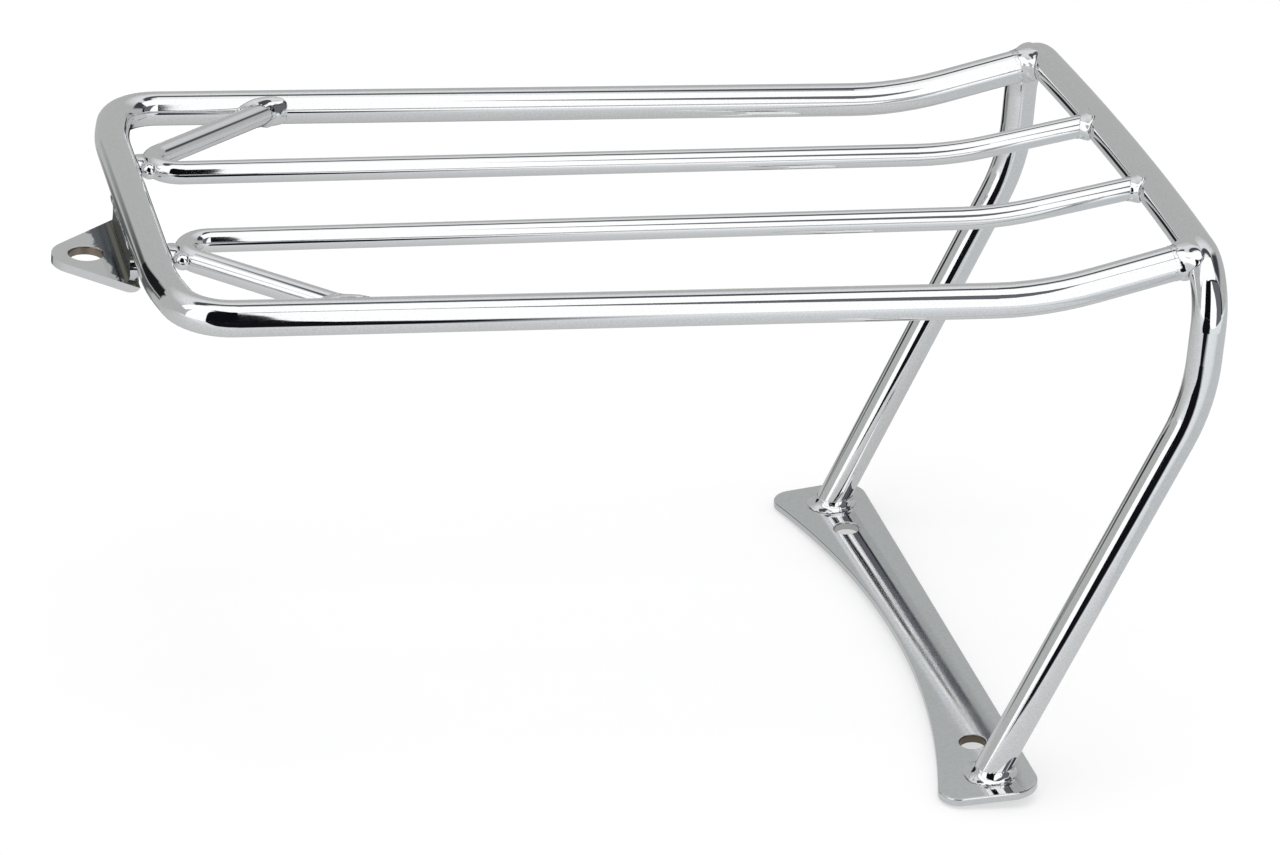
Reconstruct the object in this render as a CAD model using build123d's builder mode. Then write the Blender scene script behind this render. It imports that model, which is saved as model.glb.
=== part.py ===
from build123d import *
import os
from math import asin, atan2, cos, hypot, radians, sin, sqrt, tan

os.makedirs("parts", exist_ok=True)

# Chrome-plated luggage rack for the rear fender of a motorcycle, welded from round bar and flat plate.
# Millimetres. X runs to the rear of the machine, Z is up, and left is the -Y side.
# The origin is the centre of the front tab's bolt hole, half way through the tab.

# Bar and plate stock
bar_diameter = 12.0
rod_diameter = 8.0
plate_thickness = 3.0
tab_thickness = 3.0

# Front hoop, which makes the front bar and both side rails
deck_length = 344.6          # front bar to rear bar, centre to centre, measured at the rails
rail_spacing = 176.0         # between the rails' centres
front_sweep_run = 28.2       # outer part of the front bar, up to the rail, that sweeps back
front_sweep = 5.5            # how far it sweeps back
front_sweep_radius = 84.0
front_corner_radius = 17.0
rail_kick_run = 52.6         # from the bend in a rail to the rear bar
rail_kick_radius = 130.0
rail_cope_stop = 3.0         # a rail's coped end stops this far before the rear bar's centre

# Rear loop, which makes the rear bar and both legs
rear_rise = 15.2             # rear bar above the flat of the deck
rear_bow = 7.1               # set-back of the rear bar's middle, at the crossing of its tangents
rear_bow_droop = 105.0       # direction of that bow, in degrees from straight up towards the rear
rear_bow_margin = 3.6        # straight left between the bow and each corner
leg_spacing = 208.0          # between the legs under the rear bar
rear_corner_radius = 18.8
knee_drop = 46.6             # from the rear bar down to the knee of a leg
knee_setback = 1.0           # the knee lies this far behind the rear bar
knee_radius = 75.6
foot_spacing = 206.0         # between the legs where they stand on the base plate
foot_advance = 55.7          # the feet stand this far in front of the rear bar
foot_drop = 173.0            # from the flat of the deck down to the plate, at the feet

# Inner rods, each ending in a hairpin and a short diagonal at the front
rod_spacing_front = 57.0
rod_spacing_rear = 55.7
rod_lift_front = 0.7         # rod above the flat of the deck at the hairpin
rod_lift_kick = 3.5          # and at its rear bend
rod_kick_run = 54.0          # from the bend in a rod to the rear bar
rod_kick_radius = 131.0
rod_seat_lift = 1.0          # a rod meets the rear bar this far above its centre
hairpin_radius = 9.1
hairpin_gap = 1.3            # root gap between hairpin and front bar, filled by the weld
diagonal_angle = 41.8        # between a diagonal and the side rail

# Front tab, bent from plate, with a triangular foot
tab_hole_diameter = 11.5
tab_reach = 16.1             # bolt hole to the front bar's centre
tab_drop = 15.6              # front bar's centre to the top of the foot
tab_tip_radius = 11.5
tab_shoulder = 29.5          # half the width of the foot at the back of the bend
tab_corner_radius = 5.0
web_front = 4.35             # front face of the upright web, in front of the front bar's centre
web_root = 25.0              # half the width of the web just above the bend
web_waist = 21.0             # and at its waist
web_top = 26.0               # and where it meets the front bar
tab_waist_drop = 8.9         # from the front bar's centre down to the waist
bend_radius = 2.0            # inside of the fold

# Base plate, tilted up to the rear
plate_tilt = 6.5
plate_front_width = 233.8
plate_rear_width = 238.6
plate_rear_margin = 15.2     # feet to the rear edge
plate_front_margin = 23.0    # feet to the front corners
plate_waist_margin = 4.2     # feet to the middle of the hollow front edge
plate_front_corner = 7.5     # radius of the corners at the front
plate_rear_corner = 10.5     # and at the rear
plate_hole_diameter = 9.2
plate_hole_spacing = 163.4
plate_hole_setback = 0.3     # holes behind the line of the feet

# Edges and welds
edge_round = 0.6             # softened edge of the plate and the tab
rail_weld_leg = 5.0
rod_weld_leg = 3.6
foot_weld_leg = 3.8
hairpin_weld_leg = 3.0
tab_weld_leg = 3.0
tab_weld_hollow = 0.35       # hollow of a tab bead's face, as a share of its leg
tab_weld_margin = 1.5        # the bead stops this far short of the web's corners

# Collar welds, station by station from the toe to the root. Each station has its distance from the
# centre of the bar, in bar radii and in weld legs, then its flare sideways and its rise, in legs.
rail_bead = ((1, 1, 0.07, 0.07), (1, 0.4, 0.2, 0.07), (1, 0.05, 0.6, 0.1), (0.2, 0, 0.8, 0.1))
rod_bead = ((1, 1, 0.1, 0.1), (1, 0.45, 0.3, 0.15), (1, 0.05, 0.8, 0.3), (0.3, 0, 1, 0.4))
diagonal_bead = ((1, 1, 0.1, 0.1), (1, 0.45, 0.4, 0.15), (1, 0.05, 1, 0.3), (0.3, 0, 1.2, 0.4))

# Foot weld: height over the plate and flare, both in legs
foot_bead = ((0, 1), (0.25, 0.5), (0.6, 0.2), (1, 0.1))

# Hairpin weld: distance ahead of the bar's centre in bar radii, root gaps and rod radii, then the
# spread in legs and the half height in rod radii
hairpin_bead = ((0.5, 0, 0, 1.4, 1), (1, 0.5, 0, 0.4, 0.7), (1, 1, 0.6, 1, 0.85))

# Places that follow from the sizes
bar_radius = bar_diameter / 2
rod_radius = rod_diameter / 2
deck_z = tab_drop + tab_thickness / 2
front_x = tab_reach
rail_y = rail_spacing / 2
rear_x = front_x + deck_length
rear_z = deck_z + rear_rise
leg_y = leg_spacing / 2
foot_y = foot_spacing / 2
foot_x = rear_x - foot_advance
foot_z = deck_z - foot_drop
knee_z = rear_z - knee_drop
tilt = radians(plate_tilt)

plate_top = Plane(
    origin=(foot_x, 0, foot_z), x_dir=(cos(tilt), 0, sin(tilt)), z_dir=(-sin(tilt), 0, cos(tilt))
)
leg_lean = atan2(rear_x + knee_setback - foot_x, knee_z - foot_z)
leg_to_plate = leg_lean + tilt
droop = radians(rear_bow_droop)
bow_turn = atan2(rear_bow, leg_y)
bow_radius = (leg_y - rear_corner_radius - rear_bow_margin) / tan(bow_turn)
bow_middle = (rear_x + rear_bow * sin(droop), 0, rear_z + rear_bow * cos(droop))


def rear_bar_centre(y):
    """Centre of the rear bar at a distance y from the middle, on its two tangents joined by the bow."""
    bend = bow_radius * sin(bow_turn)
    if abs(y) < bend:
        out = rear_bow - bow_radius * (1 / cos(bow_turn) - 1) - y * y / (2 * bow_radius)
    else:
        out = rear_bow * (1 - abs(y) / leg_y)
    return Vector(rear_x + out * sin(droop), y, rear_z + out * cos(droop))


# Rear loop: one bar bent through both legs and the rear bar, with its feet cut flush with the plate
leg_overrun = bar_diameter   # spare length under the plate, before the feet are cut
foot_end_x = foot_x - leg_overrun * sin(leg_lean)
foot_end_z = foot_z - leg_overrun * cos(leg_lean)

with BuildPart() as rear_loop:
    with BuildLine() as loop_path:
        FilletPolyline(
            (foot_end_x, -foot_y, foot_end_z),
            (rear_x + knee_setback, -leg_y, knee_z),
            (rear_x, -leg_y, rear_z),
            bow_middle,
            (rear_x, leg_y, rear_z),
            (rear_x + knee_setback, leg_y, knee_z),
            (foot_end_x, foot_y, foot_end_z),
            radius=[knee_radius, rear_corner_radius, bow_radius, rear_corner_radius, knee_radius],
        )
    with BuildSketch(Plane(origin=loop_path.line @ 0, z_dir=loop_path.line % 0)):
        Circle(bar_radius)
    sweep()
    split(bisect_by=plate_top, keep=Keep.TOP)

rear_loop.part.label = "rear_loop"
export_step(rear_loop.part, "parts/rear_loop.step")

# Front hoop: front bar, two corners and two rails that kick up and are coped to the rear bar
rail_end = rear_bar_centre(rail_y)
rail_kick = Vector(rear_x - rail_kick_run, rail_y, deck_z)
rail_rise = atan2(rail_end.Z - rail_kick.Z, rail_end.X - rail_kick.X)
rail_stop = Vector(
    rail_end.X - rail_cope_stop * cos(rail_rise), rail_y, rail_end.Z - rail_cope_stop * sin(rail_rise)
)
front_half = rail_y - front_sweep_run

with BuildPart() as front_hoop:
    with BuildLine() as hoop_path:
        FilletPolyline(
            (rail_stop.X, -rail_y, rail_stop.Z),
            (rail_kick.X, -rail_y, rail_kick.Z),
            (front_x + front_sweep, -rail_y, deck_z),
            (front_x, -front_half, deck_z),
            (front_x, front_half, deck_z),
            (front_x + front_sweep, rail_y, deck_z),
            (rail_kick.X, rail_y, rail_kick.Z),
            (rail_stop.X, rail_y, rail_stop.Z),
            radius=[
                rail_kick_radius,
                front_corner_radius,
                front_sweep_radius,
                front_sweep_radius,
                front_corner_radius,
                rail_kick_radius,
            ],
        )
    with BuildSketch(Plane(origin=hoop_path.line @ 0, z_dir=hoop_path.line % 0)):
        Circle(bar_radius)
    sweep()
    add(rear_loop.part, mode=Mode.SUBTRACT)

front_hoop.part.label = "front_hoop"
export_step(front_hoop.part, "parts/front_hoop.step")

# Inner rods: from the rear bar forward, down a bend, round the hairpin and out to the rail
diagonal = radians(diagonal_angle)
bend_centre_x = front_x + bar_radius + hairpin_gap + rod_radius + hairpin_radius
hairpin_x = bend_centre_x - hairpin_radius / tan(diagonal / 2)
rod_front_y = rod_spacing_front / 2
rod_rear_y = rod_spacing_rear / 2
bend_centre_y = rod_front_y + hairpin_radius
rod_end = rear_bar_centre(rod_rear_y)
rod_kick_x = rod_end.X - rod_kick_run
rod_rise = atan2(rod_end.Z + rod_seat_lift - deck_z - rod_lift_kick, rod_kick_run)
diagonal_end_x = hairpin_x + (rail_y - rod_front_y) / tan(diagonal)

rods = {}
for side, word in ((-1, "left"), (1, "right")):
    with BuildPart() as inner_rod:
        with BuildLine() as rod_path:
            FilletPolyline(
                (rod_end.X, side * rod_rear_y, rod_end.Z + rod_seat_lift),
                (rod_kick_x, side * rod_rear_y, deck_z + rod_lift_kick),
                (hairpin_x, side * rod_front_y, deck_z + rod_lift_front),
                (diagonal_end_x, side * rail_y, deck_z),
                radius=[rod_kick_radius, hairpin_radius],
            )
        with BuildSketch(Plane(origin=rod_path.line @ 0, z_dir=rod_path.line % 0)):
            Circle(rod_radius)
        sweep()
        add(rear_loop.part, mode=Mode.SUBTRACT)
        add(front_hoop.part, mode=Mode.SUBTRACT)
    inner_rod.part.label = f"inner_rod_{word}"
    export_step(inner_rod.part, f"parts/inner_rod_{word}.step")
    rods[word] = inner_rod.part

# Front tab: a strip folded through a right angle, its outline cut as a flat blank would be
web_face_x = front_x - web_front
web_back_x = web_face_x + tab_thickness
foot_top = tab_thickness / 2
foot_bottom = -tab_thickness / 2
web_high_z = deck_z - bar_radius / 2
web_waist_z = deck_z - tab_waist_drop
web_meet_z = deck_z - sqrt(bar_radius**2 - web_front**2)
tip_turn = atan2(tab_shoulder, web_back_x) - asin(tab_tip_radius / hypot(web_back_x, tab_shoulder))
tip_x = -tab_tip_radius * sin(tip_turn)
tip_y = tab_tip_radius * cos(tip_turn)

with BuildPart() as front_tab:
    with BuildSketch(Plane.XZ) as strip:
        with BuildLine():
            Polyline(
                (-tab_tip_radius, foot_bottom),
                (web_back_x, foot_bottom),
                (web_back_x, web_high_z),
                (web_face_x, web_high_z),
                (web_face_x, foot_top),
                (-tab_tip_radius, foot_top),
                close=True,
            )
        make_face()
        fillet(strip.vertices().sort_by_distance((web_face_x, foot_top))[0], bend_radius)
        fillet(strip.vertices().sort_by_distance((web_back_x, foot_bottom))[0], bend_radius + tab_thickness)
    extrude(amount=tab_shoulder, both=True)
    with BuildSketch(Plane.XY.offset(foot_bottom)) as foot_outline:
        with BuildLine():
            ThreePointArc((tip_x, tip_y), (-tab_tip_radius, 0), (tip_x, -tip_y))
            Polyline(
                (tip_x, -tip_y),
                (web_back_x, -tab_shoulder),
                (front_x + tab_corner_radius, -tab_shoulder),
                (front_x + tab_corner_radius, tab_shoulder),
                (web_back_x, tab_shoulder),
                (tip_x, tip_y),
            )
        make_face()
        shoulders = foot_outline.vertices().sort_by_distance((web_back_x, tab_shoulder, foot_bottom))[0:1]
        shoulders += foot_outline.vertices().sort_by_distance((web_back_x, -tab_shoulder, foot_bottom))[0:1]
        fillet(shoulders, tab_corner_radius)
    extrude(amount=deck_z, mode=Mode.INTERSECT)
    with BuildSketch(Plane.YZ) as web_outline:
        with BuildLine():
            Polyline(
                (-web_root, foot_top),
                (-tab_shoulder, foot_top),
                (-tab_shoulder, foot_bottom),
                (tab_shoulder, foot_bottom),
                (tab_shoulder, foot_top),
                (web_root, foot_top),
            )
            ThreePointArc((web_root, foot_top), (web_waist, web_waist_z), (web_top, web_meet_z))
            Polyline(
                (web_top, web_meet_z),
                (web_top, web_high_z),
                (-web_top, web_high_z),
                (-web_top, web_meet_z),
            )
            ThreePointArc((-web_top, web_meet_z), (-web_waist, web_waist_z), (-web_root, foot_top))
        make_face()
    extrude(amount=front_x + tab_tip_radius, both=True, mode=Mode.INTERSECT)
    Hole(tab_hole_diameter / 2)
    foot_face = front_tab.faces().filter_by(Axis.Z).sort_by_distance((0, 0, foot_top))[0]
    fillet(foot_face.inner_wires().edges(), edge_round)
    add(front_hoop.part, mode=Mode.SUBTRACT)

front_tab.part.label = "front_tab"
export_step(front_tab.part, "parts/front_tab.step")

# Base plate: flat, with a hollow front edge, a straight rear edge and two bolt holes inside the feet
front_corner_y = plate_front_width / 2
rear_corner_y = plate_rear_width / 2
hole_y = plate_hole_spacing / 2

with BuildPart() as base_plate:
    with BuildSketch(plate_top) as plate_outline:
        with BuildLine():
            ThreePointArc(
                (-plate_front_margin, -front_corner_y),
                (-plate_waist_margin, 0),
                (-plate_front_margin, front_corner_y),
            )
            Polyline(
                (-plate_front_margin, front_corner_y),
                (plate_rear_margin, rear_corner_y),
                (plate_rear_margin, -rear_corner_y),
                (-plate_front_margin, -front_corner_y),
            )
        make_face()
        fillet(plate_outline.vertices().group_by(Axis.X)[0], plate_front_corner)
        fillet(plate_outline.vertices().group_by(Axis.X)[-1], plate_rear_corner)
        with Locations((plate_hole_setback, -hole_y), (plate_hole_setback, hole_y)):
            Circle(plate_hole_diameter / 2, mode=Mode.SUBTRACT)
    extrude(amount=-plate_thickness)
    through_plate = Axis(plate_top.origin, plate_top.z_dir)
    fillet(base_plate.faces().sort_by(through_plate)[0].outer_wire().edges(), edge_round)
    fillet(base_plate.faces().sort_by(through_plate)[-1].edges(), edge_round)

base_plate.part.label = "base_plate"
export_step(base_plate.part, "parts/base_plate.step")

# Weld beads: each is a flared collar, lofted through ellipses and trimmed by the pieces that it joins
for side, word in ((-1, "left"), (1, "right")):
    # Rail to rear bar: flared sideways, nearly flush above and below
    with BuildPart() as rail_weld:
        for radii, legs, flare, rise in rail_bead:
            back = radii * bar_radius + legs * rail_weld_leg
            centre = (rail_end.X - back * cos(rail_rise), side * rail_y, rail_end.Z - back * sin(rail_rise))
            along_rail = (cos(rail_rise), 0, sin(rail_rise))
            with BuildSketch(Plane(origin=centre, x_dir=(0, 1, 0), z_dir=along_rail)):
                Ellipse(bar_radius + flare * rail_weld_leg, bar_radius + rise * rail_weld_leg)
        loft()
        add(rear_loop.part, mode=Mode.SUBTRACT)
        add(front_hoop.part, mode=Mode.SUBTRACT)
    rail_weld.part.label = f"rail_weld_{word}"
    export_step(rail_weld.part, f"parts/rail_weld_{word}.step")

    # Rod to rear bar: a collar flared all round
    with BuildPart() as rod_weld:
        for radii, legs, flare, rise in rod_bead:
            back = radii * bar_radius + legs * rod_weld_leg
            lift = rod_seat_lift - back * tan(rod_rise)
            centre = (rod_end.X - back, side * rod_rear_y, rod_end.Z + lift)
            with BuildSketch(Plane(origin=centre, x_dir=(0, 1, 0), z_dir=(1, 0, 0))):
                Ellipse(rod_radius + flare * rod_weld_leg, rod_radius + rise * rod_weld_leg)
        loft()
        add(rear_loop.part, mode=Mode.SUBTRACT)
        add(rods[word], mode=Mode.SUBTRACT)
    rod_weld.part.label = f"rod_weld_{word}"
    export_step(rod_weld.part, f"parts/rod_weld_{word}.step")

    # Diagonal to rail: the collar lies along the rail, because the diagonal meets it aslant
    with BuildPart() as diagonal_weld:
        for radii, legs, flare, rise in diagonal_bead:
            back = radii * bar_radius + legs * rod_weld_leg
            half_length = rod_radius / sin(diagonal) + flare * rod_weld_leg
            centre = (diagonal_end_x - back / tan(diagonal), side * (rail_y - back), deck_z)
            with BuildSketch(Plane(origin=centre, x_dir=(1, 0, 0), z_dir=(0, side, 0))):
                Ellipse(half_length, rod_radius + rise * rod_weld_leg)
        loft()
        add(front_hoop.part, mode=Mode.SUBTRACT)
        add(rods[word], mode=Mode.SUBTRACT)
    diagonal_weld.part.label = f"diagonal_weld_{word}"
    export_step(diagonal_weld.part, f"parts/diagonal_weld_{word}.step")

    # Hairpin to front bar: a waisted bridge across the root gap
    with BuildPart() as hairpin_weld:
        for bar_radii, gaps, rod_radii, spread, height in hairpin_bead:
            ahead = bar_radii * bar_radius + gaps * hairpin_gap + rod_radii * rod_radius
            centre = (front_x + ahead, side * bend_centre_y, deck_z + rod_lift_front)
            with BuildSketch(Plane(origin=centre, x_dir=(0, 1, 0), z_dir=(1, 0, 0))):
                Ellipse(rod_radius + spread * hairpin_weld_leg, height * rod_radius)
        loft()
        add(front_hoop.part, mode=Mode.SUBTRACT)
        add(rods[word], mode=Mode.SUBTRACT)
    hairpin_weld.part.label = f"hairpin_weld_{word}"
    export_step(hairpin_weld.part, f"parts/hairpin_weld_{word}.step")

    # Leg to base plate: a broad ring fillet, sheared along the leg's lean
    with BuildPart() as leg_weld:
        for up, flare in foot_bead:
            height = up * foot_weld_leg
            spread = flare * foot_weld_leg
            with BuildSketch(plate_top.offset(height)):
                with Locations((height * tan(leg_to_plate), side * foot_y)):
                    Ellipse(bar_radius / cos(leg_to_plate) + spread, bar_radius + spread)
        loft()
        add(rear_loop.part, mode=Mode.SUBTRACT)
    leg_weld.part.label = f"leg_weld_{word}"
    export_step(leg_weld.part, f"parts/leg_weld_{word}.step")

# Tab welds: one bead in the corner in front of the web and one in the corner behind it
bead_half = web_waist - tab_weld_margin
seam = tab_weld_leg / bar_radius
hollow_depth = tab_weld_hollow * tab_weld_leg
for face_x, outward, word in ((web_face_x, -1, "front"), (web_back_x, 1, "rear")):
    corner = atan2(-sqrt(bar_radius**2 - (face_x - front_x) ** 2), face_x - front_x)
    corner_z = deck_z + bar_radius * sin(corner)
    toe = corner + outward * seam
    on_bar = (front_x + bar_radius * cos(toe), deck_z + bar_radius * sin(toe))
    on_web = (face_x, corner_z - tab_weld_leg)
    inside = (face_x - outward * tab_thickness / 4, corner_z + tab_thickness / 4)
    hollow = (face_x + outward * hollow_depth, corner_z - hollow_depth)
    with BuildPart() as tab_weld:
        with BuildSketch(Plane.XZ):
            with BuildLine():
                Polyline(on_bar, inside, on_web)
                ThreePointArc(on_web, hollow, on_bar)
            make_face()
        extrude(amount=bead_half, both=True)
        add(front_hoop.part, mode=Mode.SUBTRACT)
        add(front_tab.part, mode=Mode.SUBTRACT)
    tab_weld.part.label = f"tab_weld_{word}"
    export_step(tab_weld.part, f"parts/tab_weld_{word}.step")
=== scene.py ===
from math import atan2, cos, pi, radians, sin

import bmesh
import bpy
from mathutils import Matrix, Vector
from mathutils.bvhtree import BVHTree


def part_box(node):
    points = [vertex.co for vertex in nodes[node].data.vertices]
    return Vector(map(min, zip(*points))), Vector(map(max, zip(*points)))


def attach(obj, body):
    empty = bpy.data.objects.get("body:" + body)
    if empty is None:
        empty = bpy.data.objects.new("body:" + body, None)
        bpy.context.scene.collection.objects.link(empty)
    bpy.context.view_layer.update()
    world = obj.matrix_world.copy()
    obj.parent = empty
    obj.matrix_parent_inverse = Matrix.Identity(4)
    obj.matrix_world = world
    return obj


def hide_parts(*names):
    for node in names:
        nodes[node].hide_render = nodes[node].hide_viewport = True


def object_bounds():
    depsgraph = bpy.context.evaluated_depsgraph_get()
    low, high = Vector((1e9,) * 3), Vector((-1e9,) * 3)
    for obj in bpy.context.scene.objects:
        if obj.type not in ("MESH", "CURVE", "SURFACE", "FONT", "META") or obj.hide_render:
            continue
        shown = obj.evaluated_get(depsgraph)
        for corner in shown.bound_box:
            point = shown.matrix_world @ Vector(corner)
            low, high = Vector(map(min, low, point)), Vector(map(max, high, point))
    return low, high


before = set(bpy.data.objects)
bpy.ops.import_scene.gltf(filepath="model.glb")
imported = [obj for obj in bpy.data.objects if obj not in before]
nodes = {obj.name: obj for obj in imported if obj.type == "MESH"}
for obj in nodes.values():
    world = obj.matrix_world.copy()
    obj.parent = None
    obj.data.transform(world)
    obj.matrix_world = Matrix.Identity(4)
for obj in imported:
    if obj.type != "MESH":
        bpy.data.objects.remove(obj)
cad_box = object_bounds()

scene = bpy.context.scene
scene.view_settings.view_transform = "Standard"

# The camera: a long lens from the front left of the rack, a little above it, 1.6 m away.
# Its place and turn were worked out from the outlines of the bars.
camera_place = (-0.21295, -1.45532, 0.65543)
camera_turn = (64.28070, -4.71722, -13.48347)
lens_length = 134.20
sensor_width = 36
nearest_seen = 0.05
farthest_seen = 20

camera_data = bpy.data.cameras.new("rack_camera")
camera_data.lens = lens_length
camera_data.sensor_width = sensor_width
camera_data.clip_start = nearest_seen
camera_data.clip_end = farthest_seen
camera = bpy.data.objects.new("rack_camera", camera_data)
camera.location = camera_place
camera.rotation_euler = [radians(angle) for angle in camera_turn]
scene.collection.objects.link(camera)
scene.camera = camera

# The studio round the rack: a grey sweep that brightens with height up to a dark gap under the ceiling,
# and a dark room on the camera's side. Only the chrome mirrors them. The camera itself sees plain white,
# as in the photograph, and everything is lit by a plain soft light.
plain_white = (1, 1, 1, 1)
sweep_low = (0.475, 0.485, 0.480, 1)
sweep_middle = (0.63, 0.64, 0.65, 1)
sweep_high = (0.78, 0.79, 0.81, 1)
sweep_gap = (0.07, 0.072, 0.08, 1)
sweep_stops = (
    (0.0, sweep_low), (0.765, sweep_low), (0.832, sweep_middle), (0.895, sweep_high), (0.935, sweep_high),
    (0.945, sweep_gap), (0.975, sweep_gap), (0.985, plain_white), (1.0, plain_white),
)
room_dark = (0.004, 0.004, 0.006, 1)
room_edge = (-0.42, -0.36)
room_light = 0.90


def add(tree, kind, pins=(), **settings):
    """A node with its settings, and with its inputs, by name or number, linked or filled in."""
    node = tree.nodes.new(kind)
    for key, value in settings.items():
        setattr(node, key, value)
    for key, value in dict(pins).items():
        if isinstance(value, bpy.types.NodeSocket):
            tree.links.new(value, node.inputs[key])
        else:
            node.inputs[key].default_value = value
    return node


def set_stops(ramp, stops):
    """Gives a colour ramp its stops, listed from its low end to its high end."""
    elements = ramp.color_ramp.elements
    for element, (place, colour) in zip(elements, (stops[0], stops[-1])):
        element.position = place
        element.color = colour
    for place, colour in stops[1:-1]:
        element = elements.new(place)
        element.color = colour


world = bpy.data.worlds.new("studio")
world.use_nodes = True
scene.world = world
tree = world.node_tree
tree.nodes.clear()
view = add(tree, "ShaderNodeTexCoord")
split = add(tree, "ShaderNodeSeparateXYZ", {0: view.outputs["Generated"]})
height = add(tree, "ShaderNodeMapRange", {"Value": split.outputs["Z"], "From Min": -1, "From Max": 1})
sweep = add(tree, "ShaderNodeValToRGB", {"Fac": height.outputs["Result"]})
set_stops(sweep, sweep_stops)
behind = add(tree, "ShaderNodeMapRange", {"Value": split.outputs["Y"], "From Min": room_edge[0],
                                          "From Max": room_edge[1]}, interpolation_type="SMOOTHSTEP")
room = add(tree, "ShaderNodeMix", {"Factor": behind.outputs["Result"], "A": room_dark,
                                   "B": sweep.outputs["Color"]}, data_type="RGBA")
light_path = add(tree, "ShaderNodeLightPath")
mirrored = add(tree, "ShaderNodeBackground", {"Color": room.outputs["Result"]})
soft_light = add(tree, "ShaderNodeBackground", {"Color": plain_white, "Strength": room_light})
backdrop = add(tree, "ShaderNodeBackground", {"Color": plain_white})
unseen = add(tree, "ShaderNodeMixShader", {"Fac": light_path.outputs["Is Glossy Ray"],
                                           1: soft_light.outputs[0], 2: mirrored.outputs[0]})
seen = add(tree, "ShaderNodeMixShader", {"Fac": light_path.outputs["Is Camera Ray"],
                                         1: unseen.outputs[0], 2: backdrop.outputs[0]})
add(tree, "ShaderNodeOutputWorld", {"Surface": seen.outputs[0]})

# The floor: white paper under the rack, which keeps its soft shadow. Chrome mirrors it as the pale grey
# that paper has beside the soft boxes, darker the farther it lies from the camera.
floor_half = 4.0
floor_gap = 0.0006
floor_z = cad_box[0][2] - floor_gap
paper_white = (0.97, 0.97, 0.97, 1)
paper_glow = 0.45
paper_near = (0.82, 0.85, 0.87, 1)
paper_under = (0.64, 0.65, 0.66, 1)
paper_behind = (0.48, 0.49, 0.48, 1)
paper_stops = ((0.25, paper_near), (0.40, paper_under), (0.64, paper_behind))
paper_reach = 1.0

floor_mesh = bpy.data.meshes.new("floor")
floor_corners = [(x * floor_half, y * floor_half, floor_z) for x, y in ((-1, -1), (1, -1), (1, 1), (-1, 1))]
floor_mesh.from_pydata(floor_corners, [], [(0, 1, 2, 3)])
floor = bpy.data.objects.new("floor", floor_mesh)
scene.collection.objects.link(floor)
paper = bpy.data.materials.new("white_paper")
paper.use_nodes = True
tree = paper.node_tree
tree.nodes.clear()
place = add(tree, "ShaderNodeTexCoord")
split = add(tree, "ShaderNodeSeparateXYZ", {0: place.outputs["Object"]})
depth = add(tree, "ShaderNodeMapRange", {"Value": split.outputs["Y"], "From Min": -paper_reach,
                                         "From Max": paper_reach})
tones = add(tree, "ShaderNodeValToRGB", {"Fac": depth.outputs["Result"]})
set_stops(tones, paper_stops)
mirrored = add(tree, "ShaderNodeEmission", {"Color": tones.outputs["Color"]})
matt = add(tree, "ShaderNodeBsdfDiffuse", {"Color": paper_white})
bright = add(tree, "ShaderNodeEmission")
lit = add(tree, "ShaderNodeMixShader", {"Fac": paper_glow, 1: matt.outputs[0], 2: bright.outputs[0]})
light_path = add(tree, "ShaderNodeLightPath")
seen = add(tree, "ShaderNodeMixShader", {"Fac": light_path.outputs["Is Glossy Ray"],
                                         1: lit.outputs[0], 2: mirrored.outputs[0]})
add(tree, "ShaderNodeOutputMaterial", {"Surface": seen.outputs[0]})
floor_mesh.materials.append(paper)

# Soft boxes and dark cards: flat sheets hung round the rack, which only the chrome mirrors. The bright
# ones hang over and before the rack. The dark ones make the black lines that run along its bars.
soft_box_white = (1.17, 1.17, 1.17, 1)
card_grey = (0.14, 0.14, 0.16, 1)
card_charcoal = (0.05, 0.05, 0.06, 1)
card_soot = (0.012, 0.012, 0.014, 1)
sheet_foot = -0.155


def studio_panel(name, corners, colour, rim=0.0, skirt=()):
    """A flat sheet that only mirrors see. It fades out over its rim, a share of the way to its middle,
    or over a skirt, whose outer points pair with its first corners."""
    middle = sum((Vector(corner) for corner in corners), Vector()) / len(corners)
    inner = [tuple(Vector(corner).lerp(middle, rim)) for corner in corners]
    count = len(corners)
    points = inner + corners + list(skirt)
    faces = [tuple(range(count))]
    if rim:
        faces += [(k, (k + 1) % count, count + (k + 1) % count, count + k) for k in range(count)]
    faces += [(k, k + 1, 2 * count + k + 1, 2 * count + k) for k in range(len(skirt) - 1)]
    mesh = bpy.data.meshes.new(name)
    mesh.from_pydata(points, [], faces)
    cover = mesh.attributes.new("cover", "FLOAT", "POINT")
    cover.data.foreach_set("value", [1.0] * count + [0.0] * (len(points) - count))
    panel = bpy.data.objects.new(name, mesh)
    scene.collection.objects.link(panel)
    sheet = bpy.data.materials.new(name)
    sheet.use_nodes = True
    tree = sheet.node_tree
    tree.nodes.clear()
    glow = add(tree, "ShaderNodeEmission", {"Color": colour})
    clear = add(tree, "ShaderNodeBsdfTransparent")
    edge = add(tree, "ShaderNodeAttribute", attribute_name="cover")
    faded = add(tree, "ShaderNodeMixShader", {"Fac": edge.outputs["Fac"], 1: clear.outputs[0],
                                              2: glow.outputs[0]})
    add(tree, "ShaderNodeOutputMaterial", {"Surface": faded.outputs[0]})
    mesh.materials.append(sheet)
    panel.visible_camera = False
    panel.visible_diffuse = False
    panel.visible_shadow = False
    panel.visible_transmission = False


def upright(y, *spots):
    """Points of a sheet that hangs straight, all at one depth."""
    return [(x, y, z) for x, z in spots]


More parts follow.
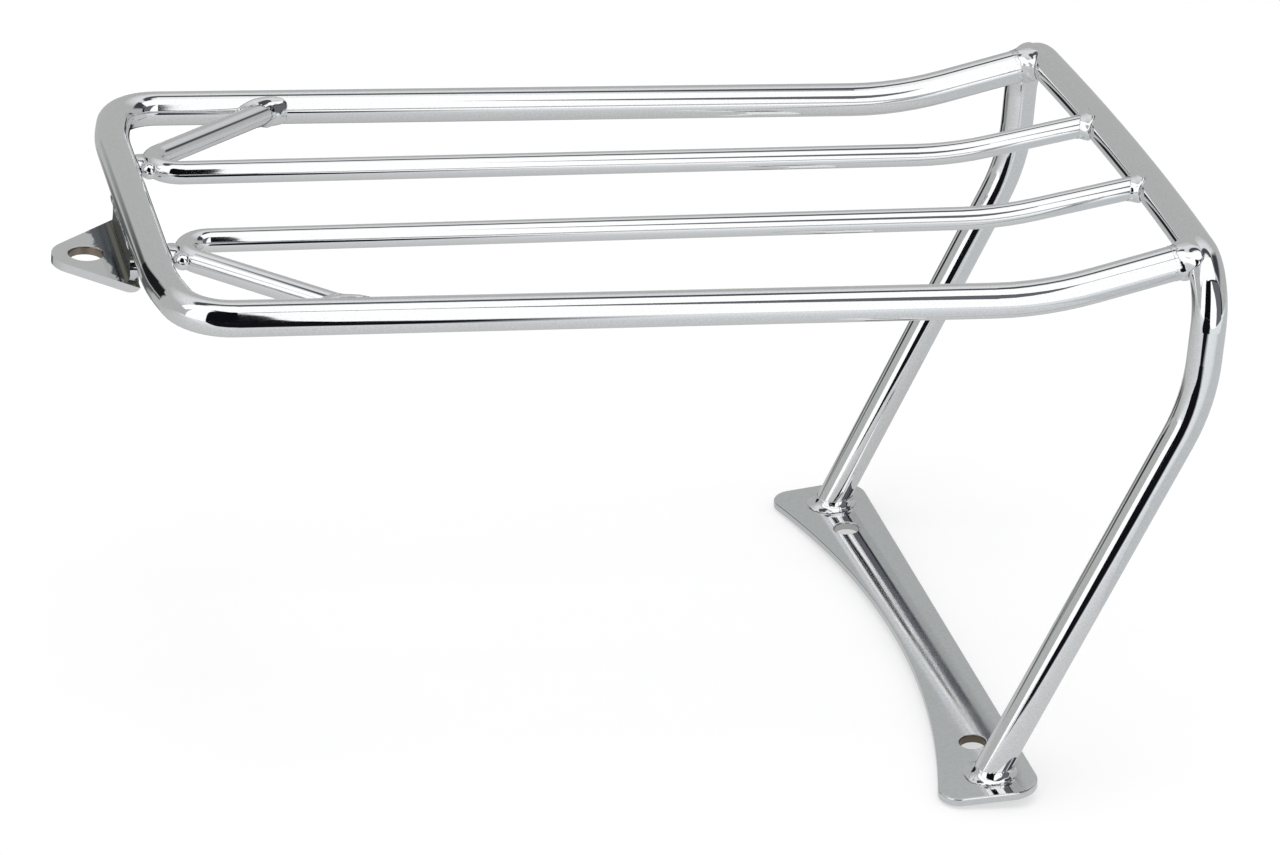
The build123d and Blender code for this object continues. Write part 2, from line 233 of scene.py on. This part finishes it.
studio_panel("soft_box_over", [(-1.2, 0.03, 0.80), (0.66, 0.03, 0.80), (0.66, -0.40, 0.55),
                               (0.125, -0.40, 0.55), (-0.14, -0.27, 0.626), (-1.2, -0.27, 0.626)],
             soft_box_white, rim=0.015)
studio_panel("soft_box_front", upright(-0.80, (0.178, 0.04), (0.174, 0.20), (0.181, 0.35), (0.191, 0.50),
                                       (0.208, 0.72), (0.25, 1.13), (0.38, 1.13), (0.48, 0.72), (0.60, 0.45),
                                       (0.68, 0.20), (0.69, sheet_foot), (0.25, sheet_foot), (0.20, -0.08)),
             soft_box_white, rim=0.004)
studio_panel("soft_box_left", [(-0.75, -0.99, sheet_foot), (-0.75, -0.99, 0.30), (-0.87, -0.99, 1.40),
                               (-0.76, -0.99, 2.80), (-1.6, -0.52, 1.60), (-1.6, -0.52, sheet_foot)],
             soft_box_white, rim=0.01)
studio_panel("grey_card", upright(-0.84, (0.30, 1.20), (1.6, 1.20), (1.6, sheet_foot), (0.40, sheet_foot)),
             card_grey, rim=0.02)
studio_panel("dark_card_right", [(1.2, -0.6, 0.45), (1.2, 0.5, 0.45), (1.2, 0.5, 1.7), (1.2, -0.6, 1.7)],
             card_charcoal, rim=0.35)
studio_panel("dark_card_back", upright(1.0, (-1.3, sheet_foot), (-0.40, sheet_foot), (-0.40, 0.10),
                                       (-0.60, 0.60), (-1.3, 0.60)),
             card_soot, rim=0.25)

# Cards and a black cloth laid on the paper round the rack, which the lower sides of the bars mirror.
# The cloth lies before the rack. Its edge by the legs fades out over a skirt, which gives the black
# lines on them a soft side.
card_lift = 0.001
cloth_black = (0.006, 0.006, 0.009, 1)
card_pale = (0.56, 0.58, 0.59, 1)
card_slate = (0.11, 0.115, 0.12, 1)
card_ink = (0.01, 0.012, 0.016, 1)


def on_paper(*spots):
    """Points on the paper, just above it."""
    return [(x, y, floor_z + card_lift) for x, y in spots]


studio_panel("dark_cloth", on_paper((0.06, -0.375), (0.15, -0.35), (0.185, -0.41), (0.215, -0.48),
                                    (0.24, -0.56), (0.235, -0.64), (0.205, -0.75), (0.21, -0.81),
                                    (1.2, -0.90), (1.2, -3.9), (-3.9, -3.9), (-3.9, -0.99),
                                    (-0.75, -0.99), (-0.38, -0.62), (-0.12, -0.40)),
             cloth_black,
             skirt=on_paper((0.07, -0.345), (0.19, -0.31), (0.24, -0.37), (0.28, -0.45), (0.315, -0.54),
                            (0.31, -0.64), (0.28, -0.75), (0.28, -0.80)))
studio_panel("grey_card_right", on_paper((0.42, -0.34), (1.6, -0.34), (1.6, 0.40), (0.42, 0.40)),
             card_pale, skirt=on_paper((0.37, -0.42), (1.6, -0.42)))
studio_panel("grey_card_behind", on_paper((0.12, 0.28), (0.02, 0.14), (-0.95, 0.80), (-0.60, 1.10)),
             card_slate, rim=0.3)
studio_panel("dark_strip_behind", on_paper((0.25, 0.22), (0.25, 1.0), (0.05, 1.0), (0.05, 0.22)),
             card_ink, rim=0.3)

# The lamp: a wide soft lamp over the rack, which draws its shadow on the paper. The chrome doesn't
# mirror it, because the soft box over the rack stands for it there.
lamp_watts = 8
lamp_width = 1.2
lamp_place = (0.1, -0.3, 1.6)

lamp_data = bpy.data.lights.new("soft_lamp", "AREA")
lamp_data.energy = lamp_watts
lamp_data.size = lamp_width
lamp = bpy.data.objects.new("soft_lamp", lamp_data)
lamp.location = lamp_place
lamp.visible_glossy = False
scene.collection.objects.link(lamp)

# The front hoop: one length of the larger steel bar, bent to a U with two tight corners. It was polished,
# then chromed after welding: a mirror that keeps a faint grain of fine pits under the bright plate.
chrome_colour = (0.86, 0.865, 0.87, 1)
haze_edges = (0.35, 0.75)
haze_detail = 4
grain_detail = 3
grain_sharpness = 0.6
peel_detail = 2
noise_middle = 0.5


def plating_group():
    """Fine unevenness of plated steel: colour, roughness and height that vary over the surface."""
    group = bpy.data.node_groups.new("plating", "ShaderNodeTree")
    for name, kind, value in (
        ("Colour", "NodeSocketColor", chrome_colour),
        ("Haze Size", "NodeSocketFloat", 60),
        ("Haze", "NodeSocketFloat", 0.03),
        ("Gloss", "NodeSocketFloat", 0.03),
        ("Grain Size", "NodeSocketFloat", 900),
        ("Grain", "NodeSocketFloat", 0.05),
        ("Peel Size", "NodeSocketFloat", 300),
    ):
        socket = group.interface.new_socket(name, in_out="INPUT", socket_type=kind)
        socket.default_value = value
    for name, kind in (("Colour", "NodeSocketColor"), ("Roughness", "NodeSocketFloat"),
                       ("Height", "NodeSocketFloat")):
        group.interface.new_socket(name, in_out="OUTPUT", socket_type=kind)
    inside = add(group, "NodeGroupInput").outputs
    place = add(group, "ShaderNodeTexCoord").outputs["Object"]
    haze = add(group, "ShaderNodeTexNoise", {"Vector": place, "Scale": inside["Haze Size"],
                                             "Detail": haze_detail})
    cloud = add(group, "ShaderNodeMapRange", {"Value": haze.outputs["Fac"], "From Min": haze_edges[0],
                                              "From Max": haze_edges[1]})
    roughness = add(group, "ShaderNodeMath", {0: cloud.outputs["Result"], 1: inside["Haze"],
                                              2: inside["Gloss"]}, operation="MULTIPLY_ADD")
    grain = add(group, "ShaderNodeTexNoise", {"Vector": place, "Scale": inside["Grain Size"],
                                              "Detail": grain_detail, "Roughness": grain_sharpness})
    centred = add(group, "ShaderNodeMath", {0: grain.outputs["Fac"], 1: noise_middle},
                  operation="SUBTRACT")
    value = add(group, "ShaderNodeMath", {0: centred.outputs[0], 1: inside["Grain"], 2: 1},
                operation="MULTIPLY_ADD")
    colour = add(group, "ShaderNodeHueSaturation", {"Value": value.outputs[0],
                                                    "Color": inside["Colour"]})
    peel = add(group, "ShaderNodeTexNoise", {"Vector": place, "Scale": inside["Peel Size"],
                                             "Detail": peel_detail})
    add(group, "NodeGroupOutput", {"Colour": colour.outputs["Color"], "Roughness": roughness.outputs[0],
                                   "Height": peel.outputs["Fac"]})
    return group


plating = plating_group()


def chrome(name, peel, colour=chrome_colour, **values):
    """A chrome finish: the plating group with values of its own, and a peel whose height is in metres."""
    finish = bpy.data.materials.new(name)
    finish.use_nodes = True
    tree = finish.node_tree
    surface = tree.nodes["Principled BSDF"]
    surface.inputs["Metallic"].default_value = 1
    own = {key.replace("_", " ").title(): value for key, value in values.items()}
    plate = add(tree, "ShaderNodeGroup", {"Colour": colour, **own}, node_tree=plating)
    bump = add(tree, "ShaderNodeBump", {"Strength": 1, "Distance": peel,
                                        "Height": plate.outputs["Height"]})
    tree.links.new(plate.outputs["Colour"], surface.inputs["Base Color"])
    tree.links.new(plate.outputs["Roughness"], surface.inputs["Roughness"])
    tree.links.new(bump.outputs["Normal"], surface.inputs["Normal"])
    return finish


def finish_node(name, material):
    """Gives a CAD node its finish."""
    node = nodes[name]
    node.data.materials.clear()
    node.data.materials.append(material)


bar_chrome = chrome("bar_chrome", peel=0.0000002, haze_size=60, haze=0.02, gloss=0.03, grain_size=1500,
                    grain=0.36, peel_size=260)
finish_node("front_hoop", bar_chrome)

# The rear loop: the second length of the larger bar, which makes both legs and the cross bar between
# them. Same polish and plate as the hoop.
finish_node("rear_loop", bar_chrome)

# The inner rods: two lengths of the thinner bar, each folded back at the front in a tight hairpin.
# The thin stock was drawn smoother, so the plate on it has less grain.
rod_chrome = chrome("rod_chrome", peel=0.0000002, haze_size=70, haze=0.02, gloss=0.025, grain_size=1500,
                    grain=0.18, peel_size=300)
finish_node("inner_rod_left", rod_chrome)
finish_node("inner_rod_right", rod_chrome)

# The base plate: 3 mm steel plate, cut with a concave front edge and two bolt holes, and chromed with the
# rest, but less polished. The walls of the holes are darker and brownish, less so in the right
# one.
plate_colour = (0.79, 0.80, 0.81, 1)
plate_tilt = radians(6.5)
plate_hole_radius = 0.0046
plate_hole_x = 0.305468
plate_hole_y = 0.0817
plate_hole_z = -0.157356
plate_wall_brown = (0.16, 0.13, 0.10, 1)
left_wall_tint = 1.0
right_wall_tint = 0.35
wall_roughness = 0.35
wall_fade = (0.00045, 0.00015)


def maths(tree, operation, *values, kind="ShaderNodeMath"):
    """The result of a maths node, whose values are numbers, vectors or other nodes' outputs."""
    node = add(tree, kind, dict(enumerate(values)), operation=operation)
    return next(pin for pin in node.outputs if pin.enabled)


def soft_step(tree, value, low, high):
    """A smooth step from 0 at low to 1 at high."""
    step = add(tree, "ShaderNodeMapRange", {"Value": value, "From Min": low, "From Max": high},
               interpolation_type="SMOOTHSTEP")
    return step.outputs["Result"]


def hole_wall(tree, middle, tilt, radius):
    """A mask that is 1 on the wall of a bolt hole through a plate that is tilted about Y."""
    place = add(tree, "ShaderNodeTexCoord").outputs["Object"]
    offset = maths(tree, "SUBTRACT", place, middle, kind="ShaderNodeVectorMath")
    level = add(tree, "ShaderNodeVectorRotate", {"Vector": offset, "Angle": tilt}, rotation_type="Y_AXIS")
    flat = maths(tree, "MULTIPLY", level.outputs[0], (1, 1, 0), kind="ShaderNodeVectorMath")
    reach = maths(tree, "LENGTH", flat, kind="ShaderNodeVectorMath")
    return soft_step(tree, reach, radius + wall_fade[0], radius + wall_fade[1])


def dull(material, mask, colour, roughness):
    """Tints and dulls a chrome finish where the mask is 1: thin plate on the tab's web, the painted
    reflection by its fold, and the darker walls of the bolt holes.
    """
    tree = material.node_tree
    surface = tree.nodes["Principled BSDF"]
    for name, kind, value in (("Base Color", "RGBA", colour), ("Roughness", "FLOAT", roughness)):
        before = surface.inputs[name].links[0].from_socket
        blend = add(tree, "ShaderNodeMix", {"Factor": mask, "A": before, "B": value}, data_type=kind)
        tree.links.new(blend.outputs["Result"], surface.inputs[name])


plate_chrome = chrome("plate_chrome", peel=0.000004, colour=plate_colour, haze_size=40, haze=0.03,
                      gloss=0.045, grain_size=700, grain=0.22, peel_size=60)
tree = plate_chrome.node_tree
walls = []
for hole_y, tint in ((-plate_hole_y, left_wall_tint), (plate_hole_y, right_wall_tint)):
    wall = hole_wall(tree, (plate_hole_x, hole_y, plate_hole_z), plate_tilt, plate_hole_radius)
    walls.append(maths(tree, "MULTIPLY", wall, tint))
dull(plate_chrome, maths(tree, "MAXIMUM", *walls), plate_wall_brown, wall_roughness)
finish_node("base_plate", plate_chrome)

# The front tab: 3 mm plate, bent up to a web that is welded to the front bar, with one bolt hole in its
# rounded foot. On the foot by the fold a painted reflection of the dark web darkens the chrome, with a ragged
# edge, and the web above it is olive, where the plating bath hardly reaches. The flanks and the back of the
# web stay bright.
tab_hole_radius = 0.00575
tab_wall_tint = (0.30, 0.25, 0.21, 1)
# Painted reflection: the dark web as mirrored in the foot by the fold, painted into the chrome's colour.
painted_fold_reflection = (0.15, 0.165, 0.18, 1)
fold_roughness = 0.14
fold_edge = (0.0050, 0.0062)
fold_skew = 0.15
ragged_size = 160
ragged_sway = 0.007
web_olive = (0.17, 0.165, 0.13, 1)
web_roughness = 0.22
web_edge = (0.0098, 0.0104)
flank_edge = (0.6, 0.3)
back_edge = (0.0, 0.3)

tab_chrome = chrome("tab_chrome", peel=0.000004, haze_size=60, haze=0.03, gloss=0.05, grain_size=700,
                    grain=0.10, peel_size=80)
tree = tab_chrome.node_tree
dull(tab_chrome, hole_wall(tree, (0, 0, 0), 0, tab_hole_radius), tab_wall_tint, wall_roughness)
place = add(tree, "ShaderNodeTexCoord").outputs["Object"]
along = add(tree, "ShaderNodeSeparateXYZ", {0: place}).outputs
ragged = add(tree, "ShaderNodeTexNoise", {"Vector": place, "Scale": ragged_size}).outputs["Fac"]
sway = maths(tree, "MULTIPLY", maths(tree, "SUBTRACT", ragged, noise_middle), ragged_sway)
skew = maths(tree, "MULTIPLY", along["Y"], fold_skew)
edge = maths(tree, "ADD", maths(tree, "ADD", along["X"], sway), skew)
normal = add(tree, "ShaderNodeNewGeometry").outputs["True Normal"]
facing = add(tree, "ShaderNodeSeparateXYZ", {0: normal}).outputs
off_flanks = soft_step(tree, maths(tree, "ABSOLUTE", facing["Y"]), *flank_edge)
off_back = soft_step(tree, maths(tree, "SUBTRACT", facing["Z"], facing["X"]), *back_edge)
inner = maths(tree, "MULTIPLY", off_flanks, off_back)
# Mask of the painted reflection of the web on the foot, with a ragged edge, kept off the flanks and the back.
painted_reflection_mask = maths(tree, "MULTIPLY", soft_step(tree, edge, *fold_edge), inner)
dull(tab_chrome, painted_reflection_mask, painted_fold_reflection, fold_roughness)
web = maths(tree, "MULTIPLY", soft_step(tree, along["X"], *web_edge), inner)
dull(tab_chrome, web, web_olive, web_roughness)
finish_node("front_tab", tab_chrome)

# The rail welds: steel run in right round the end of each side rail, where it is coped against the rear
# loop, in short overlapping puddles, ground level on top and chromed with the bars. Each bead keeps the
# body of its CAD node. Puddles are laid along its seam and melt into that body.
puddle_size = 0.0026
puddle_spacing = 0.0046
puddle_sink = 0.70
puddle_least = 0.75
puddle_most = 1.2
puddle_facets = 3
bead_grain = 0.0002
skin_band = 3.0
skin_threshold = 0.1
lump_detail = 1.0
spatter_least = 0.5
spatter_most = 1.3
stand_off = 0.0002
bare_gap = 0.00012
downward = Vector((0, 0, -1))
rail_level = 0.0372


def bead_tree():
    """Grows a lumpy weld bead: puddles along the seam, melted into the body, with a little spatter."""
    tree = bpy.data.node_groups.new("weld_bead", "GeometryNodeTree")
    for name, kind, value in (
        ("Body", "NodeSocketGeometry", None),
        ("Seam", "NodeSocketObject", None),
        ("Puddle Size", "NodeSocketFloat", puddle_size),
        ("Puddle Spacing", "NodeSocketFloat", puddle_spacing),
        ("Grain", "NodeSocketFloat", bead_grain),
        ("Softness", "NodeSocketInt", 30),
        ("Lump Size", "NodeSocketFloat", 220.0),
        ("Lump Height", "NodeSocketFloat", 0.0003),
        ("Spatter", "NodeSocketFloat", 1500.0),
        ("Spatter Size", "NodeSocketFloat", 0.0003),
        ("Seed", "NodeSocketInt", 1),
        ("Finish", "NodeSocketMaterial", None),
    ):
        socket = tree.interface.new_socket(name, in_out="INPUT", socket_type=kind)
        if value is not None:
            socket.default_value = value
    tree.interface.new_socket("Bead", in_out="OUTPUT", socket_type="NodeSocketGeometry")
    inside = add(tree, "NodeGroupInput").outputs

    def join(*parts):
        node = add(tree, "GeometryNodeJoinGeometry")
        for part in parts:
            tree.links.new(part, node.inputs[0])
        return node.outputs[0]

    seam = add(tree, "GeometryNodeObjectInfo", {"Object": inside["Seam"]})
    curve = add(tree, "GeometryNodeMeshToCurve", {"Mesh": seam.outputs["Geometry"]})
    spots = add(tree, "GeometryNodeResampleCurve", {"Curve": curve.outputs["Curve"],
                                                    "Length": inside["Puddle Spacing"]}, mode="LENGTH")
    ball = add(tree, "GeometryNodeMeshIcoSphere", {"Radius": 1.0, "Subdivisions": puddle_facets})
    shapes = add(tree, "FunctionNodeRandomValue", {"Min": (puddle_least,) * 3, "Max": (puddle_most,) * 3,
                                                   "Seed": inside["Seed"]}, data_type="FLOAT_VECTOR")
    sizes = add(tree, "ShaderNodeVectorMath", {"Vector": shapes.outputs["Value"],
                                               "Scale": inside["Puddle Size"]}, operation="SCALE")
    puddles = add(tree, "GeometryNodeInstanceOnPoints", {"Points": spots.outputs["Curve"],
                                                         "Instance": ball.outputs["Mesh"],
                                                         "Scale": sizes.outputs["Vector"]})
    loose = add(tree, "GeometryNodeRealizeInstances", {"Geometry": puddles.outputs["Instances"]})
    whole = join(inside["Body"], loose.outputs["Geometry"])

    band = maths(tree, "MULTIPLY", inside["Grain"], skin_band)
    solid = add(tree, "GeometryNodeMeshToVolume", {"Mesh": whole, "Voxel Size": inside["Grain"],
                                                   "Interior Band Width": band},
                resolution_mode="VOXEL_SIZE")
    skin = add(tree, "GeometryNodeVolumeToMesh", {"Volume": solid.outputs["Volume"],
                                                  "Voxel Size": inside["Grain"],
                                                  "Threshold": skin_threshold},
               resolution_mode="VOXEL_SIZE")
    spot = add(tree, "GeometryNodeInputPosition")
    blurred = add(tree, "GeometryNodeBlurAttribute", {"Value": spot.outputs["Position"],
                                                      "Iterations": inside["Softness"]},
                  data_type="FLOAT_VECTOR")
    melted = add(tree, "GeometryNodeSetPosition", {"Geometry": skin.outputs["Mesh"],
                                                   "Position": blurred.outputs["Value"]})

    lumps = add(tree, "ShaderNodeTexNoise", {"Scale": inside["Lump Size"], "Detail": lump_detail})
    centred = maths(tree, "SUBTRACT", lumps.outputs["Fac"], noise_middle)
    rise = maths(tree, "MULTIPLY", centred, inside["Lump Height"])
    outward = add(tree, "GeometryNodeInputNormal")
    push = add(tree, "ShaderNodeVectorMath", {"Vector": outward.outputs["Normal"], "Scale": rise},
               operation="SCALE")
    lumpy = add(tree, "GeometryNodeSetPosition", {"Geometry": melted.outputs["Geometry"],
                                                  "Offset": push.outputs["Vector"]})

    specks = add(tree, "GeometryNodeDistributePointsOnFaces", {"Mesh": lumpy.outputs["Geometry"],
                                                               "Density": inside["Spatter"],
                                                               "Seed": inside["Seed"]})
    speck_shapes = add(tree, "FunctionNodeRandomValue", {"Min": spatter_least, "Max": spatter_most,
                                                         "Seed": inside["Seed"]}, data_type="FLOAT")
    speck_sizes = maths(tree, "MULTIPLY", speck_shapes.outputs["Value"], inside["Spatter Size"])
    spatter = add(tree, "GeometryNodeInstanceOnPoints", {"Points": specks.outputs["Points"],
                                                         "Instance": ball.outputs["Mesh"],
                                                         "Scale": speck_sizes})
    done = join(lumpy.outputs["Geometry"], spatter.outputs["Instances"])
    real = add(tree, "GeometryNodeRealizeInstances", {"Geometry": done})
    smooth = add(tree, "GeometryNodeSetShadeSmooth", {"Geometry": real.outputs["Geometry"]})
    dressed = add(tree, "GeometryNodeSetMaterial", {"Geometry": smooth.outputs["Geometry"],
                                                    "Material": inside["Finish"]})
    add(tree, "NodeGroupOutput", {"Bead": dressed.outputs["Geometry"]})
    return tree


def solid_tree(names):
    """A search tree over the faces of several CAD nodes."""
    points = []
    faces = []
    for name in names:
        mesh = nodes[name].data
        start = len(points)
        points += [vertex.co.copy() for vertex in mesh.vertices]
        faces += [tuple(start + index for index in face.vertices) for face in mesh.polygons]
    return BVHTree.FromPolygons(points, faces)


bead = bead_tree()
weld_chrome = chrome("weld_chrome", peel=0.000001, haze_size=200, haze=0.04, gloss=0.04, grain_size=900,
                     grain=0.10, peel_size=500)
bars = solid_tree(["front_hoop", "rear_loop", "inner_rod_left", "inner_rod_right", "base_plate", "front_tab"])


def bare_faces(mesh):
    """The faces of a bead that no bar or plate covers."""
    found = []
    for face in mesh.polygons:
        point = face.center + face.normal * stand_off
        nearest, normal, _, _ = bars.find_nearest(point)
        if (point - nearest).dot(normal) > bare_gap:
            found.append(face)
    return found


def seam_path(name, axis, steps, sink):
    """Points along the middle of a bead, sunk below its face, and most where it faces up. The points go
    round the axis for a ring, and along Y for a straight bead, which has no axis."""
    faces = bare_faces(nodes[name].data)
    area = sum(face.area for face in faces)
    middle = sum((face.center * face.area for face in faces), Vector()) / area
    groups = {}
    if axis is None:
        low = min(face.center.y for face in faces)
        high = max(face.center.y for face in faces)
        for face in faces:
            step = int(steps * (face.center.y - low) / (high - low))
            groups.setdefault(min(steps - 1, step), []).append(face)
    else:
        along = Vector(axis).normalized()
        across = along.orthogonal().normalized()
        up = along.cross(across)
        for face in faces:
            arm = face.center - middle
            angle = atan2(arm.dot(up), arm.dot(across))
            groups.setdefault(int(steps * (angle + pi) / (2 * pi)) % steps, []).append(face)
    path = []
    for key in sorted(groups):
        weight = sum(face.area for face in groups[key])
        spot = sum((face.center * face.area for face in groups[key]), Vector()) / weight
        outward = sum((face.normal * face.area for face in groups[key]), Vector()).normalized()
        path.append(spot - outward * sink * (1 + max(0, outward.z)))
    return path, axis is not None and len(groups) == steps


def weld_bead(name, steps, seed, axis=None, drops=(), level=None, **changes):
    """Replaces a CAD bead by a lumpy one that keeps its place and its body. A drop is
    a place and a radius. A level is a direction and a height along it, and what lies short of that height
    is pushed up to it."""
    path, closed = seam_path(name, axis, steps, puddle_sink * changes.get("puddle_size", puddle_size))
    edges = [(k, k + 1) for k in range(len(path) - 1)]
    if closed:
        edges.append((len(path) - 1, 0))
    seam_mesh = bpy.data.meshes.new("seam")
    seam_mesh.from_pydata([tuple(point) for point in path], edges, [])
    seam = bpy.data.objects.new("seam", seam_mesh)
    scene.collection.objects.link(seam)
    body = nodes[name].data.copy()
    for place, radius in drops:
        ball = bmesh.new()
        ball.from_mesh(body)
        bmesh.ops.create_icosphere(ball, subdivisions=puddle_facets, radius=radius,
                                   matrix=Matrix.Translation(place))
        ball.to_mesh(body)
        ball.free()
    piece = bpy.data.objects.new(name + "_bead", body)
    scene.collection.objects.link(piece)
    growth = piece.modifiers.new("bead", "NODES")
    growth.node_group = bead
    pins = {item.name: item.identifier for item in bead.interface.items_tree if item.in_out == "INPUT"}
    growth[pins["Seam"]] = seam
    growth[pins["Seed"]] = seed
    growth[pins["Finish"]] = weld_chrome
    for key, value in changes.items():
        growth[pins[key.replace("_", " ").title()]] = value
    grown = bpy.data.meshes.new_from_object(piece.evaluated_get(bpy.context.evaluated_depsgraph_get()))
    piece.modifiers.clear()
    piece.data = grown
    grown.name = piece.name
    if level:
        up, height = level
        for vertex in grown.vertices:
            vertex.co += up * max(0, height - vertex.co.dot(up))
    bpy.data.objects.remove(seam)
    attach(piece, "root")
    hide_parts(name)


for number, side in enumerate(("left", "right")):
    weld_bead("rail_weld_" + side, steps=24, seed=11 + number, axis=(1, 0, 0),
              level=(downward, -rail_level), puddle_size=0.0021, puddle_spacing=0.0038)

# The rod welds: a small bead right round the rear end of each inner rod, where it meets the rear bar.
# The rods are thinner than the rails, so the puddles are finer, melted softer and ground level on top.
rod_level = 0.0360
for number, side in enumerate(("left", "right")):
    weld_bead("rod_weld_" + side, steps=20, seed=21 + number, axis=(1, 0, 0),
              level=(downward, -rod_level), puddle_size=0.0018, puddle_spacing=0.0034, softness=60)

# The diagonal welds: the front diagonals of the rods are mitred into the side rails, and a flat bead of
# fine puddles runs round each mitred end.
diagonal_run = 0.745
diagonal_spread = 0.667
for number, (side, turn) in enumerate((("left", -1), ("right", 1))):
    weld_bead("diagonal_weld_" + side, steps=20, seed=31 + number,
              axis=(diagonal_run, turn * diagonal_spread, 0), puddle_size=0.0018, puddle_spacing=0.0034)

# The hairpin welds: a short saddle of weld where each hairpin touches the front bar. On the left flank
# of each the steel ended in a round drop.
drop_radius = 0.0032
drop_x = 0.0252
drop_z = 0.0180
drop_from_apex = 0.0070
for number, side in enumerate(("left", "right")):
    apex = sum(corner[1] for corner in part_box("hairpin_weld_" + side)) / 2
    weld_bead("hairpin_weld_" + side, steps=16, seed=41 + number, axis=(1, 0, 0),
              drops=[((drop_x, apex - drop_from_apex, drop_z), drop_radius)],
              puddle_size=0.0018, puddle_spacing=0.0034)

# The leg welds: a ring of weld round the foot of each leg, where it stands on the base plate, in large
# puddles. They melt into the plate to half its thickness and don't come out underneath.
plate_up = Vector((-sin(plate_tilt), 0, cos(plate_tilt)))
plate_heights = [vertex.co.dot(plate_up) for vertex in nodes["base_plate"].data.vertices]
plate_middle = (min(plate_heights) + max(plate_heights)) / 2
for number, side in enumerate(("left", "right")):
    weld_bead("leg_weld_" + side, steps=28, seed=51 + number, axis=(0, 0, 1),
              level=(plate_up, plate_middle), puddle_size=0.0032, puddle_spacing=0.0062)

# The tab welds: a thin straight bead along the front and the rear of the tab's web, where it meets the
# front bar. The puddles are small, because the plate is only 3 mm thick.
for number, side in enumerate(("front", "rear")):
    weld_bead("tab_weld_" + side, steps=12, seed=61 + number, puddle_size=0.0006, puddle_spacing=0.0012)
